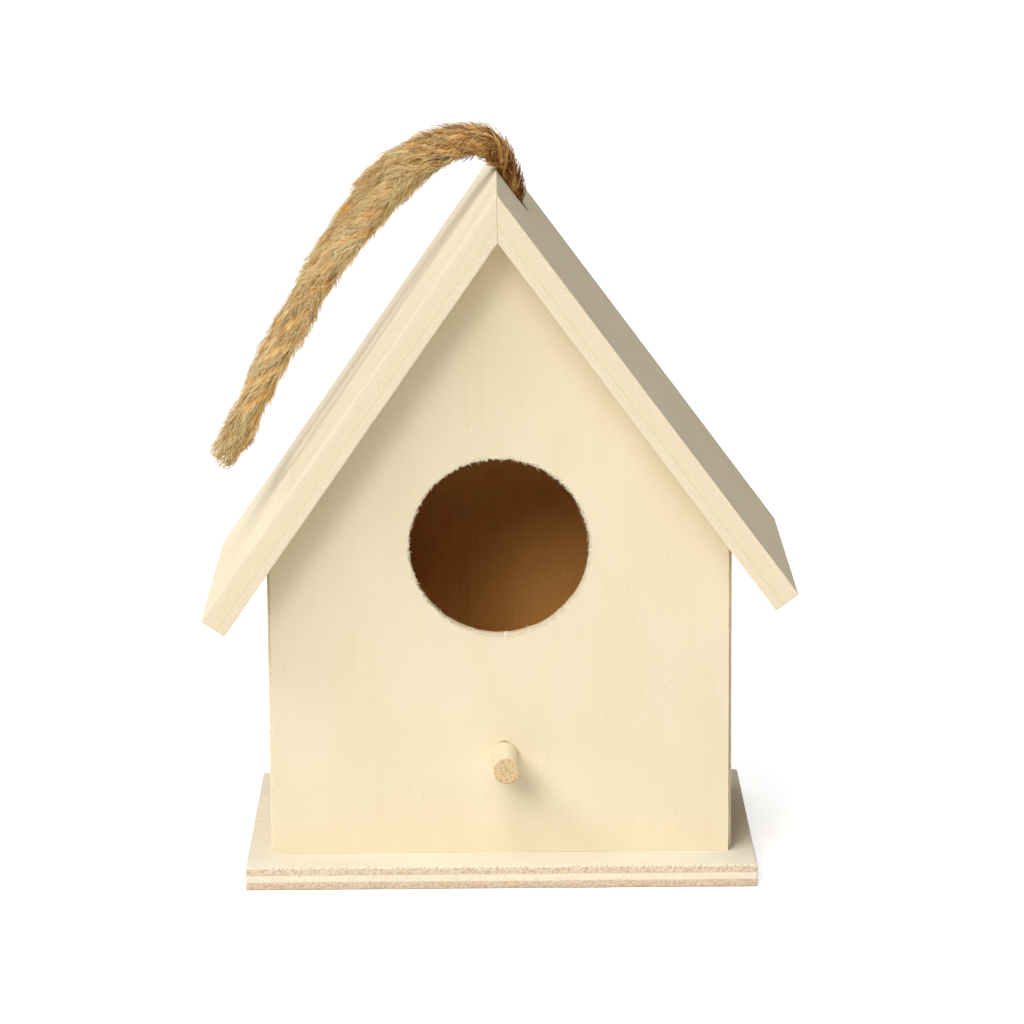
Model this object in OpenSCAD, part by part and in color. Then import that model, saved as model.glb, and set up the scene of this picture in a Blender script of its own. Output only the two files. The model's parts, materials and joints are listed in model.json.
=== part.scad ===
// Small unfinished craft birdhouse: base board, gabled front and back panels, two side
// walls, a mitred pair of roof boards, a perch and a jute hanging loop knotted inside.
// Millimetres. +Z up, the front faces -Y, +X is the viewer's right when facing the front.
// Origin: middle of the base board's underside.

/* [Overall] */
// Height from the base board's underside to the outer edge of the ridge
ridge_height = 150; // [140:1:200]

/* [Base board] */
// Width of the base board, side to side
base_w = 110; // [108:1:140]
// Depth of the base board, front to back
base_d = 80; // [66:1:110]
// Thickness of the base board
base_t = 5; // [4:0.5:9]

/* [Body] */
// Width of the front and back panels
panel_w = 98.6; // [80:0.1:104]
// Depth of the body over the outside faces of the two panels
body_d = 58; // [44:1:64]
// Thickness of the front and back panels
panel_t = 3; // [2.5:0.1:7]
// Thickness of the side walls
wall_t = 5; // [4:0.5:7]
// How far each side wall's outer face stands out past the panels' edges
wall_proud = 0.7; // [0:0.1:1.5]

/* [Roof] */
// Pitch of the left roof board above level, in degrees
left_pitch = 55; // [45:0.5:56]
// Pitch of the right roof board above level, in degrees, a little flatter than the left
right_pitch = 53.5; // [45:0.5:56]
// Level distance from the ridge to each eave's outer edge
eave_reach = 63.5; // [58:0.5:74]
// Length of both roof boards, front to back
roof_len = 80; // [66:1:110]
// Thickness of the roof boards
roof_t = 6; // [4:0.5:7]

/* [Entry hole] */
// Diameter of the round entry hole in the front panel
entry_d = 38; // [25:1:45]
// Height of the entry hole's centre above the base board's underside
entry_z = 72.8; // [64:0.1:84]

/* [Perch] */
// Diameter of the perch dowel
perch_d = 5.8; // [4:0.1:9]
// Height of the perch's centreline above the base board's underside
perch_z = 26.8; // [16:0.1:34]
// How far the perch stands off the middle of the panel, towards +X
perch_x = 0.9; // [-3:0.1:3]
// How far the perch stands out of the front panel
perch_reach = 14; // [8:1:30]

/* [Hanger] */
// Diameter of the jute rope's body, without its loose hairs
rope_d = 5; // [3:0.5:6]
// Diameter of the hole for the rope in the right roof board
rope_hole_d = 6.6; // [6:0.1:7]
// Diameter of the knot under the roof
knot_d = 14; // [12:0.5:15]

/* [Pins] */
// Diameter of the base pins
pin_d = 1.2; // [0.8:0.1:1.6]
// Length of the base pins, head included
pin_len = 18; // [12:1:22]
// Distance of each panel pin from the middle of its panel
pin_spread = 30; // [16:1:38]

/* [Hidden] */
$fn = 96;

ply = [0.93, 0.87, 0.74];
ply_inner = [0.90, 0.83, 0.70];
dowel_wood = [0.90, 0.80, 0.62];
steel = [0.72, 0.72, 0.73];
jute = [0.70, 0.54, 0.34];

// Gap all round a glued dowel, pin or wall top, so that no two pieces share space
bore_gap = 0.05;
// Gap between the square top of a side wall and the roof above it, at the outer edge
wall_top_gap = 0.2;

// Roof profile in the XZ plane: each board's underside is its top moved in by roof_t
left_slope = tan(left_pitch);
right_slope = tan(right_pitch);
left_under_z = ridge_height - roof_t / cos(left_pitch);
right_under_z = ridge_height - roof_t / cos(right_pitch);
// The two undersides meet here; the mitre runs from this point up to the ridge
inner_x = (right_under_z - left_under_z) / (left_slope + right_slope);
inner_z = left_under_z + left_slope * inner_x;

half_panel = panel_w / 2;
panel_left_z = left_under_z - left_slope * half_panel;
panel_right_z = right_under_z - right_slope * half_panel;
wall_outer_x = half_panel + wall_proud;
wall_len = body_d - 2 * panel_t;
front_face_y = -body_d / 2;
back_face_y = body_d / 2;

// The perch runs through the front panel and ends flush with its inner face
perch_r = perch_d / 2;

// Base pins: one pair in each panel's bottom edge, one in each wall's bottom edge
pin_head_d = 2 * pin_d;
pin_head_t = 0.6;
pin_recess = 0.4;
pin_panel_y = (body_d - panel_t) / 2;
pin_wall_x = wall_outer_x - wall_t / 2;
pin_spots = [[-pin_spread, -pin_panel_y], [pin_spread, -pin_panel_y], [-pin_spread, pin_panel_y],
    [pin_spread, pin_panel_y], [-pin_wall_x, 0], [pin_wall_x, 0]];

// The rope's hole stands upright, just to the right of the ridge
rope_hole_x = 3.8;
rope_y = 4;
// Radius and half spacing of the two legs where they squeeze together in the hole
leg_r = min(0.235 * rope_hole_d, rope_d / 2);
leg_y = 0.25 * rope_hole_d;
knot_x = 1.5;
// The knot hangs this far below the inner corner of the roof
knot_drop = 16.2;
knot_z = inner_z - knot_drop;
// The two legs of the rope stand on a flat on top of the knot
knot_flat = 0.35 * knot_d;
knot_top_z = knot_z + knot_flat;
knot_tail_len = 13;
tail_lean = 22;

// One leg of the hanging loop from the knot up through the hole. Each point is x, height,
// distance from the loop's middle plane, and how much of the squeeze in the hole it has
leg_inside = [
    [knot_x + 0.5, knot_top_z, leg_y, 1],
    [knot_x + 0.5, knot_top_z + 1.5, leg_y, 1],
    [3.2, inner_z - 7, leg_y, 1],
    [rope_hole_x, inner_z - 3, leg_y, 1],
    [rope_hole_x, ridge_height - 7, leg_y, 1],
    [3.7, ridge_height - 4.5, leg_y, 1],
    [2.9, ridge_height - 1, 1.7, 0.9],
    [1.7, ridge_height + 1.6, 2, 0.6]
];
// The same leg from the ridge to the far end of the loop. Each point is the distance from
// the ridge down the left slope, the height above that slope, then as above, and last how
// much lower than the middle the front leg hangs there, and how much higher the back leg
leg_outside = [
    [-3, 1.8, 2.5, 0.3, 0],
    [-3.4, 4.4, 2.7, 0, 0.1],
    [-2.6, 7.1, 2.8, 0, 0.3],
    [-0.6, 9.8, 3, 0, 0.5],
    [2.7, 12.5, 3.3, 0, 0.8],
    [7.7, 14.9, 3.9, 0, 1.2],
    [15.4, 17.6, 4.8, 0, 1.7],
    [24.6, 18.6, 5.8, 0, 1.6],
    [35.6, 18.8, 6.9, 0, 0.8],
    [46, 18.2, 7.9, 0, 0.3],
    [57, 17.1, 8.7, 0, 0.5],
    [66.7, 16.1, 9.3, 0, 0.2],
    [73.5, 14.8, 9.5, 0, -0.3],
    [77.6, 14, 8.2, 0, -0.3],
    [80.8, 13.3, 4.8, 0, -0.1],
    [81.9, 13, 1.7, 0, 0]
];
rope_sides = 12;

function unit(v) = v / norm(v);
function reversed(list) = [for (i = [len(list) - 1 : -1 : 0]) list[i]];
// Points of one leg in the part's frame; side is -1 for the front leg and 1 for the back leg
function inside_pos(p, side) = [p[0], rope_y + side * p[2], p[1]];
function outside_pos(p, side) = let (above = p[1] + side * p[4])
    [-p[0] * cos(left_pitch) - above * sin(left_pitch), rope_y + side * p[2],
    ridge_height - p[0] * sin(left_pitch) + above * cos(left_pitch)];
function leg(side) = concat([for (p = leg_inside) inside_pos(p, side)],
    [for (p = leg_outside) outside_pos(p, side)]);
rope_path = concat(leg(-1), reversed(leg(1)));
leg_radii = [for (p = concat(leg_inside, leg_outside)) p[3] * leg_r + (1 - p[3]) * rope_d / 2];
rope_radii = concat(leg_radii, reversed(leg_radii));
// Directions along the path, and side vectors carried along it without twisting
last = len(rope_path) - 1;
along = [for (i = [0 : last]) unit(rope_path[min(last, i + 1)] - rope_path[max(0, i - 1)])];
function square_to(v, t) = unit(v - (v * t) * t);
across = [for (i = 0, v = square_to([0, 1, 0], along[0]); i <= last;
    i = i + 1, v = square_to(v, along[min(i, last)])) v];

base_board();
front_panel();
back_panel();
left_wall();
right_wall();
left_roof_board();
right_roof_board();
perch_dowel();
base_pins();
rope_knot();
hanging_rope();

// A profile drawn in X and Z, given a thickness along Y starting at y
module upright(y, depth) {
    translate([0, y + depth, 0]) rotate([90, 0, 0]) linear_extrude(depth) children();
}

// One pin with its head down, grown by gap; the recess below the head belongs to its hole
module pin_shape(gap, foot) {
    translate([0, 0, pin_recess]) cylinder(h = pin_len + gap, d = pin_d + 2 * gap);
    translate([0, 0, foot]) cylinder(h = pin_recess + pin_head_t + gap - foot, d = pin_head_d + 2 * gap);
}

module pin_holes() {
    for (p = pin_spots) translate([p[0], p[1], 0]) pin_shape(bore_gap, -1);
}

module base_board() {
    color(ply) difference() {
        translate([-base_w / 2, -base_d / 2, 0]) cube([base_w, base_d, base_t]);
        pin_holes();
    }
}

// Outline of the gabled panels, from the base board up to the roof's undersides
module panel_outline() {
    polygon([[-half_panel, base_t], [half_panel, base_t], [half_panel, panel_right_z],
        [inner_x, inner_z], [-half_panel, panel_left_z]]);
}

module front_panel() {
    color(ply) difference() {
        upright(front_face_y, panel_t) panel_outline();
        upright(front_face_y - 1, panel_t + 2) translate([0, entry_z]) circle(d = entry_d);
        upright(front_face_y - 1, panel_t + 2)
            translate([perch_x, perch_z]) circle(d = perch_d + 2 * bore_gap);
        pin_holes();
    }
}

module back_panel() {
    color(ply) difference() {
        upright(back_face_y - panel_t, panel_t) panel_outline();
        pin_holes();
    }
}

// A side wall between the two panels, square at the top, from inner_face outwards
module wall_board(inner_face, top_z) {
    color(ply_inner) difference() {
        translate([inner_face, -wall_len / 2, base_t]) cube([wall_t, wall_len, top_z - base_t]);
        pin_holes();
    }
}

module left_wall() {
    wall_board(-wall_outer_x, left_under_z - left_slope * wall_outer_x - wall_top_gap);
}

module right_wall() {
    wall_board(wall_outer_x - wall_t, right_under_z - right_slope * wall_outer_x - wall_top_gap);
}

// Cross-section of one roof board: ridge, eave cut square to the board, mitre to the ridge
module roof_profile(side, pitch) {
    eave_z = ridge_height - eave_reach * tan(pitch);
    polygon([[0, ridge_height], [side * eave_reach, eave_z],
        [side * (eave_reach - roof_t * sin(pitch)), eave_z - roof_t * cos(pitch)], [inner_x, inner_z]]);
}

module left_roof_board() {
    color(ply) upright(-roof_len / 2, roof_len) roof_profile(-1, left_pitch);
}

module right_roof_board() {
    color(ply) difference() {
        upright(-roof_len / 2, roof_len) roof_profile(1, right_pitch);
        translate([rope_hole_x, rope_y, inner_z - 20]) cylinder(h = 40, d = rope_hole_d);
    }
}

module perch_dowel() {
    color(dowel_wood) translate([perch_x, front_face_y + panel_t, perch_z]) rotate([90, 0, 0])
        cylinder(h = panel_t + perch_reach, r = perch_r);
}

module base_pins() {
    color(steel) for (p = pin_spots) translate([p[0], p[1], 0]) {
        translate([0, 0, pin_recess + pin_head_t / 2]) cylinder(h = pin_len - pin_head_t / 2, d = pin_d);
        translate([0, 0, pin_recess]) cylinder(h = pin_head_t, d = pin_head_d);
    }
}

// The knot: a ball of rope with a flat on top for the two legs and two cut tails below
module rope_knot() {
    color(jute) translate([knot_x, rope_y, knot_z]) {
        difference() {
            sphere(d = knot_d, $fn = 64);
            translate([-knot_d, -knot_d, knot_flat]) cube([2 * knot_d, 2 * knot_d, knot_d]);
        }
        for (side = [-1, 1]) rotate([side * tail_lean, 0, 0]) translate([0, 0, -knot_tail_len])
            cylinder(h = knot_tail_len, d = rope_d, $fn = 48);
    }
}

// Rings round the rope's path, joined into one closed tube
module hanging_rope() {
    rings = [for (i = [0 : last]) let (u = across[i], w = cross(along[i], u))
        for (k = [0 : rope_sides - 1]) let (a = 360 * k / rope_sides)
            rope_path[i] + rope_radii[i] * (cos(a) * u + sin(a) * w)];
    skin = [for (i = [0 : last - 1], k = [0 : rope_sides - 1]) let (n = (k + 1) % rope_sides)
        [i * rope_sides + k, (i + 1) * rope_sides + k, (i + 1) * rope_sides + n, i * rope_sides + n]];
    start_cap = [for (k = [0 : rope_sides - 1]) k];
    end_cap = [for (k = [rope_sides - 1 : -1 : 0]) last * rope_sides + k];
    color(jute) polyhedron(points = rings, faces = concat([start_cap], skin, [end_cap]), convexity = 6);
}
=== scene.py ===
"""A small unfinished craft birdhouse of plywood with a fluffy jute hanging loop, in metres."""

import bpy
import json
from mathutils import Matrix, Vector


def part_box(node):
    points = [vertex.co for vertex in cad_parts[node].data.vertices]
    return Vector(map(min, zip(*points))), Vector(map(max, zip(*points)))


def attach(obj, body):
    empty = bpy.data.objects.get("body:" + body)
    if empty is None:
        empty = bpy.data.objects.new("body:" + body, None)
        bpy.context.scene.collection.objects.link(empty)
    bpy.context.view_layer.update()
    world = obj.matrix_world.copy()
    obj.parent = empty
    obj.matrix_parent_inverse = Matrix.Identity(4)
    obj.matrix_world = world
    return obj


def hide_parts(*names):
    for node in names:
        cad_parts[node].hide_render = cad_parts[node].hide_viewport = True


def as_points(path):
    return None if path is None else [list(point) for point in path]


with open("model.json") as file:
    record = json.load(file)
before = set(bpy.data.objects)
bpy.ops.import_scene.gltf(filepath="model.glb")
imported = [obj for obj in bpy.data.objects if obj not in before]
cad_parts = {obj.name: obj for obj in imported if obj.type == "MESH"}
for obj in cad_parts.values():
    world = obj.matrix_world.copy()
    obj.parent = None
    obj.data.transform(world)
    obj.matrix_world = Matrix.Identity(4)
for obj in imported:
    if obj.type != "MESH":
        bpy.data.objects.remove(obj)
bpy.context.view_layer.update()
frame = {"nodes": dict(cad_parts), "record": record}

import json
import math

import bmesh
import bpy
import numpy as np
from mathutils import Matrix, Vector, noise
from mathutils.geometry import tessellate_polygon

MM = 0.001
scene = bpy.context.scene
scene.view_settings.view_transform = "Standard"

# ---------------------------------------------------------------- sizes, in millimetres
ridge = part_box("left_roof_board")[1].z / MM
eave_reach = -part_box("left_roof_board")[0].x / MM
roof_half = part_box("left_roof_board")[1].y / MM
left_pitch, right_pitch = math.radians(55), math.radians(53.5)
roof_t = 6.0


def box_mm(node):
    return (np.array(corner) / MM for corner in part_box(node))


base_lo, base_hi = box_mm("base_board")
front_lo, front_hi = box_mm("front_panel")
perch_lo, perch_hi = box_mm("perch_dowel")
back_face_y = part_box("back_panel")[1].y / MM
half_panel = front_hi[0]
base_t, panel_t = base_hi[2] - base_lo[2], front_hi[1] - front_lo[1]
pin_spread, pin_hole_r = 30.0, 0.65
# the pin head's hole at the underside
head_hole_r, head_hole_depth = 1.25, 1.05
rope_d, rope_hole_d = 5.0, 6.6
# middle of the rope's hole in the right roof board
rope_x, rope_y = 3.8, 4.0
entry = {m["name"]: m for m in frame["record"]["mounts"]}["entry_hole"]
entry_r, entry_z = entry["dims"]["r_mm"], entry["pos_m"][2] / MM


def under_z(pitch):
    """Height where a roof board's underside would meet the middle plane."""
    return ridge - roof_t / math.cos(pitch)


inner_x = (under_z(right_pitch) - under_z(left_pitch)) / (math.tan(left_pitch) + math.tan(right_pitch))
inner_z = under_z(left_pitch) + math.tan(left_pitch) * inner_x


# ---------------------------------------------------------------- camera
def make_camera():
    data = bpy.data.cameras.new("studio_camera")
    data.sensor_width, data.lens = 36, 157.46
    data.clip_start, data.clip_end = 0.05, 60
    yaw, pitch, roll = math.radians(0.281), math.radians(11.521), math.radians(-0.379)
    ahead = Vector((math.sin(yaw) * math.cos(pitch), math.cos(yaw) * math.cos(pitch), -math.sin(pitch)))
    right = Vector((math.cos(yaw), -math.sin(yaw), 0))
    up = right.cross(ahead)
    cam_x = math.cos(roll) * right + math.sin(roll) * up
    cam_y = math.cos(roll) * up - math.sin(roll) * right
    camera = bpy.data.objects.new("studio_camera", data)
    camera.matrix_world = Matrix.Translation(Vector((-1.8, -966.4, 271.4)) * MM) @ Matrix(
        (cam_x, cam_y, -ahead)).transposed().to_4x4()
    scene.collection.objects.link(camera)
    scene.camera = camera


make_camera()


# ---------------------------------------------------------------- the hanging rope's route
knot_at = np.array([1.5, rope_y, inner_z - 16.2])
knot_top = knot_at[2] + 4.9
squeezed_r = 0.235 * rope_hole_d
# x, height, distance from the loop's middle plane, share of the squeeze in the hole
leg_inside = [(2.0, knot_top, 1.65, 1), (2.0, knot_top + 1.5, 1.65, 1), (3.2, inner_z - 7, 1.65, 1),
              (3.8, inner_z - 3, 1.65, 1), (3.8, ridge - 7, 1.65, 1), (3.7, ridge - 4.5, 1.65, 1),
              (2.9, ridge - 1, 1.7, 0.9), (1.7, ridge + 1.6, 2, 0.6)]
# distance down the left slope, height above it, then as above, and how much lower the front
# leg and higher the back leg hangs
leg_outside = [(-3, 1.8, 2.5, 0.3, 0), (-3.4, 4.4, 2.7, 0, 0.1), (-2.6, 7.1, 2.8, 0, 0.3),
               (-0.6, 9.8, 3, 0, 0.5), (2.7, 12.5, 3.3, 0, 0.8), (7.7, 14.9, 3.9, 0, 1.2),
               (15.4, 17.6, 4.8, 0, 1.7), (24.6, 18.6, 5.8, 0, 1.6), (35.6, 18.8, 6.9, 0, 0.8),
               (46, 18.2, 7.9, 0, 0.3), (57, 17.1, 8.7, 0, 0.5), (66.7, 16.1, 9.3, 0, 0.2),
               (73.5, 14.8, 9.5, 0, -0.3), (77.6, 14, 8.2, 0, -0.3), (80.8, 13.3, 4.8, 0, -0.1),
               (81.9, 13, 1.7, 0, 0)]


def over_slope(along, above, y):
    return (-along * math.cos(left_pitch) - above * math.sin(left_pitch), y,
            ridge - along * math.sin(left_pitch) + above * math.cos(left_pitch))


def leg_route(side):
    """One leg from the knot to the far end of the loop; side is -1 in front and 1 behind."""
    route = [(x, rope_y + side * gap, z) for x, z, gap, _ in leg_inside]
    for along, above, gap, _, lift in leg_outside:
        route.append(over_slope(along, above + side * lift, rope_y + side * gap))
    return route


leg_radii = [row[3] * squeezed_r + (1 - row[3]) * rope_d / 2 for row in leg_inside + leg_outside]


def smooth_run(route, radii, step):
    """A smooth line through the route's points: evenly spaced points, their radii, directions
    and two side vectors carried along without twisting."""
    p, r = np.array(route, float), np.array(radii, float)
    q = np.vstack([2 * p[0] - p[1], p, 2 * p[-1] - p[-2]])
    t = np.linspace(0, 1, 24, endpoint=False)[:, None]
    line, width = [], []
    for i in range(len(p) - 1):
        a, b, c, d = q[i:i + 4]
        line.append(0.5 * (2 * b + (c - a) * t + (2 * a - 5 * b + 4 * c - d) * t ** 2
                           + (3 * b - a - 3 * c + d) * t ** 3))
        width.append(r[i] + (r[i + 1] - r[i]) * t[:, 0])
    line, width = np.vstack(line + [p[-1:]]), np.concatenate(width + [r[-1:]])
    run = np.concatenate([[0], np.cumsum(np.linalg.norm(np.diff(line, axis=0), axis=1))])
    s = np.linspace(0, run[-1], max(2, int(run[-1] / step)))
    points = np.stack([np.interp(s, run, line[:, k]) for k in range(3)], axis=1)
    width = np.interp(s, run, width)
    along = np.gradient(points, axis=0)
    along /= np.linalg.norm(along, axis=1)[:, None]
    across = np.zeros_like(along)
    side = np.array([0.0, 1.0, 0.0])
    for i, a in enumerate(along):
        side = side - (side @ a) * a
        side /= np.linalg.norm(side)
        across[i] = side
    return dict(s=s, p=points, r=width, t=along, u=across, w=np.cross(along, across))


def on_run(run, s, turn, out):
    """Points at distance s along a run, turned round it and out from its middle line."""
    def at(key):
        return np.stack([np.interp(s, run["s"], run[key][:, k]) for k in range(3)], axis=-1)
    return at("p") + out[..., None] * (np.cos(turn)[..., None] * at("u") + np.sin(turn)[..., None] * at("w"))


# ---------------------------------------------------------------- mesh helpers
def make_object(name, verts, faces, materials, face_material=None, smooth=True, attributes=None):
    mesh = bpy.data.meshes.new(name)
    mesh.from_pydata([tuple(v) for v in np.asarray(verts) * MM], [], faces)
    for material in materials:
        mesh.materials.append(material)
    if face_material is not None:
        mesh.polygons.foreach_set("material_index", np.asarray(face_material, np.int32))
    flags = np.full(len(mesh.polygons), True) if smooth is True else np.asarray(smooth, bool)
    mesh.polygons.foreach_set("use_smooth", flags)
    for key, values in (attributes or {}).items():
        values = np.asarray(values, np.float32)
        kind, field = ("FLOAT", "value") if values.ndim == 1 else ("FLOAT_VECTOR", "vector")
        mesh.attributes.new(key, kind, "POINT").data.foreach_set(field, values.ravel())
    mesh.update()
    made = bpy.data.objects.new(name, mesh)
    scene.collection.objects.link(made)
    return made


def turn_faces_out(made):
    bm = bmesh.new()
    bm.from_mesh(made.data)
    bmesh.ops.recalc_face_normals(bm, faces=bm.faces)
    bm.to_mesh(made.data)
    bm.free()


def seat(made, slot, *nodes):
    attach(made, "root")
    if nodes:
        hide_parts(*nodes)
    return made


def fibre_strands(name, lines, thick, tone, materials, tip=0.25, sides=3):
    """Many thin tapered fibres in one mesh. lines is (count, points, 3), thick the root radii."""
    count, n, _ = lines.shape
    along = np.gradient(lines, axis=1)
    along /= np.linalg.norm(along, axis=2, keepdims=True) + 1e-9
    guide = np.where(np.abs(along[..., :1]) < 0.7, [[[1.0, 0, 0]]], [[[0, 1.0, 0]]])
    u = np.cross(along, guide)
    u /= np.linalg.norm(u, axis=2, keepdims=True) + 1e-9
    w = np.cross(along, u)
    share = np.linspace(0, 1, n)
    taper = (1 - (1 - tip) * share ** 1.5)[None, :] * thick[:, None]
    rings = [lines + taper[..., None] * (math.cos(a) * u + math.sin(a) * w)
             for a in (2 * math.pi * k / sides for k in range(sides))]
    verts = np.stack(rings, axis=2).reshape(-1, 3)
    start = (np.arange(count)[:, None] * n + np.arange(n - 1)[None, :]) * sides
    faces = []
    for k in range(sides):
        m = (k + 1) % sides
        faces.append(np.stack([start + k, start + m, start + sides + m, start + sides + k], -1).reshape(-1, 4))
    faces = np.vstack(faces)
    first = np.arange(count) * n * sides
    caps = [tuple(f + k for k in reversed(range(sides))) for f in first]
    caps += [tuple(f + (n - 1) * sides + k for k in range(sides)) for f in first]
    attributes = {"fibre_tone": np.repeat(tone, n * sides),
                  "fibre_share": np.tile(np.repeat(share, sides), count)}
    return make_object(name, verts, [tuple(f) for f in faces.tolist()] + caps, materials, attributes=attributes)


# ---------------------------------------------------------------- node helpers
def srgb(r, g, b):
    def lin(v):
        v /= 255
        return v / 12.92 if v <= 0.04045 else ((v + 0.055) / 1.055) ** 2.4
    return (lin(r), lin(g), lin(b), 1.0)


def put(tree, kind, wires=None, **settings):
    node = tree.nodes.new(kind)
    for key, value in settings.items():
        setattr(node, key, value)
    for key, value in (wires or {}).items():
        socket = node.inputs[key]
        if isinstance(value, bpy.types.NodeSocket):
            tree.links.new(value, socket)
        else:
            socket.default_value = value
    return node


def calc(tree, what, *values, clamp=False):
    return put(tree, "ShaderNodeMath", dict(enumerate(values)), operation=what, use_clamp=clamp).outputs[0]


def blend_colour(tree, share, a, b, how="MIX"):
    return put(tree, "ShaderNodeMix", {0: share, 6: a, 7: b}, data_type="RGBA", blend_type=how).outputs[2]


def remap(tree, value, lo, hi, new_lo=0.0, new_hi=1.0):
    return put(tree, "ShaderNodeMapRange", {"Value": value, "From Min": lo, "From Max": hi,
                                            "To Min": new_lo, "To Max": new_hi}).outputs[0]


def colour_steps(tree, value, stops):
    node = put(tree, "ShaderNodeValToRGB", {0: value})
    ramp = node.color_ramp
    for i, (at, colour) in enumerate(stops):
        stop = ramp.elements[i] if i < 2 else ramp.elements.new(at)
        stop.position, stop.color = at, colour
    return node.outputs[0]


def stretched_noise(tree, position, stretch, detail=2.0, roughness=0.5):
    scaled = put(tree, "ShaderNodeVectorMath", {0: position, 1: stretch}, operation="MULTIPLY").outputs[0]
    return put(tree, "ShaderNodeTexNoise", {"Vector": scaled, "Scale": 1.0, "Detail": detail,
                                            "Roughness": roughness}).outputs[0]


def make_group(name, inputs, outputs):
    tree = bpy.data.node_groups.new(name, "ShaderNodeTree")
    for key, kind in inputs:
        tree.interface.new_socket(key, in_out="INPUT", socket_type=kind)
    for key, kind in outputs:
        tree.interface.new_socket(key, in_out="OUTPUT", socket_type=kind)
    return tree, tree.nodes.new("NodeGroupInput").outputs, tree.nodes.new("NodeGroupOutput").inputs


FLOAT, VECTOR, COLOUR = "NodeSocketFloat", "NodeSocketVector", "NodeSocketColor"


def veneer_grain_group():
    """Peeled pale veneer: long faint streaks, broad clouds, short pores and a height."""
    tree, given, out = make_group("veneer_grain", [("Position", VECTOR)],
                                  [("Streaks", FLOAT), ("Clouds", FLOAT), ("Pores", FLOAT), ("Height", FLOAT)])
    place = given["Position"]
    streaks = stretched_noise(tree, place, (0.02, 1.1, 0.3), 5, 0.6)
    fine = stretched_noise(tree, place, (0.25, 5.0, 1.0), 3, 0.6)
    clouds = stretched_noise(tree, place, (0.03, 0.055, 0.05), 3, 0.55)
    pores = remap(tree, stretched_noise(tree, place, (0.5, 6.5, 2.0), 2), 0.62, 0.74)
    height = calc(tree, "SUBTRACT", calc(tree, "ADD", calc(tree, "MULTIPLY", streaks, 0.5),
                                         calc(tree, "MULTIPLY", fine, 0.5)), calc(tree, "MULTIPLY", pores, 0.5))
    for key, socket in (("Streaks", calc(tree, "ADD", calc(tree, "MULTIPLY", streaks, 0.6),
                                         calc(tree, "MULTIPLY", fine, 0.4))),
                        ("Clouds", clouds), ("Pores", pores), ("Height", height)):
        tree.links.new(socket, out[key])
    return tree


def ply_layers_group():
    """Cut edge of plywood: wavy depth through the sheet, fibres along the cut and end pores."""
    tree, given, out = make_group(
        "ply_layers", [("Position", VECTOR), ("Thickness", FLOAT), ("Waviness", FLOAT), ("Layers", FLOAT)],
        [("Depth", FLOAT), ("Along", FLOAT), ("Pores", FLOAT), ("Hatch", FLOAT), ("Cross layer", FLOAT),
         ("Height", FLOAT)])
    place = given["Position"]
    depth = put(tree, "ShaderNodeSeparateXYZ", {0: place}).outputs[2]
    sway = calc(tree, "SUBTRACT", stretched_noise(tree, place, (0.12, 0.12, 0.0), 4, 0.65), 0.5)
    teeth = calc(tree, "SUBTRACT", stretched_noise(tree, place, (2.4, 2.4, 0.6), 2, 0.6), 0.5)
    wavy = calc(tree, "ADD", depth, calc(tree, "MULTIPLY", given["Waviness"], calc(
        tree, "ADD", calc(tree, "MULTIPLY", sway, 1.6), calc(tree, "MULTIPLY", teeth, 0.9))))
    share = calc(tree, "DIVIDE", wavy, given["Thickness"], clamp=True)
    layer = calc(tree, "FLOOR", calc(tree, "MULTIPLY", share, given["Layers"]))
    cross = calc(tree, "SUBTRACT", 1.0, calc(tree, "MODULO", layer, 2.0))
    along = stretched_noise(tree, place, (0.22, 0.22, 7.0), 4, 0.65)
    pores = remap(tree, stretched_noise(tree, place, (4.2, 4.2, 4.6), 2, 0.6), 0.56, 0.68)
    rough = stretched_noise(tree, place, (2.6, 2.6, 5.0), 3, 0.6)
    parts = put(tree, "ShaderNodeSeparateXYZ", {0: place}).outputs
    slanted = put(tree, "ShaderNodeCombineXYZ", {
        0: calc(tree, "ADD", parts[0], calc(tree, "MULTIPLY", parts[2], 0.75)),
        1: calc(tree, "ADD", parts[1], calc(tree, "MULTIPLY", parts[2], 0.75)), 2: parts[2]}).outputs[0]
    hatch = stretched_noise(tree, slanted, (2.3, 2.3, 0.3), 2, 0.55)
    height = calc(tree, "ADD", calc(tree, "MULTIPLY", calc(tree, "ADD", along, hatch), 0.4), calc(
        tree, "SUBTRACT", rough, calc(tree, "MULTIPLY", pores, 0.5)))
    for key, socket in (("Depth", share), ("Along", along), ("Pores", pores), ("Hatch", hatch),
                        ("Cross layer", cross), ("Height", height)):
        tree.links.new(socket, out[key])
    return tree


def handling_marks_group():
    """Soft grey smudges and a few tiny dark specks from handling."""
    tree, given, out = make_group("handling_marks", [("Position", VECTOR)], [("Smudge", FLOAT), ("Specks", FLOAT)])
    smudge = remap(tree, stretched_noise(tree, given["Position"], (0.045, 0.08, 0.05), 4, 0.6), 0.5, 0.72)
    specks = remap(tree, stretched_noise(tree, given["Position"], (0.9, 0.9, 0.9), 0), 0.86, 0.9)
    tree.links.new(smudge, out["Smudge"])
    tree.links.new(specks, out["Specks"])
    return tree


def jute_tones_group():
    """Colour of jute from a tone between 0, dark brown, and 1, pale straw."""
    tree, given, out = make_group("jute_tones", [("Tone", FLOAT)], [("Colour", COLOUR)])
    tree.links.new(colour_steps(tree, given["Tone"], [
        (0.0, srgb(104, 54, 20)), (0.22, srgb(192, 134, 68)), (0.5, srgb(248, 200, 122)),
        (0.75, srgb(255, 227, 160)), (1.0, srgb(255, 242, 196))]), out["Colour"])
    return tree


VENEER_GRAIN, PLY_LAYERS = veneer_grain_group(), ply_layers_group()
HANDLING_MARKS, JUTE_TONES = handling_marks_group(), jute_tones_group()


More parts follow.
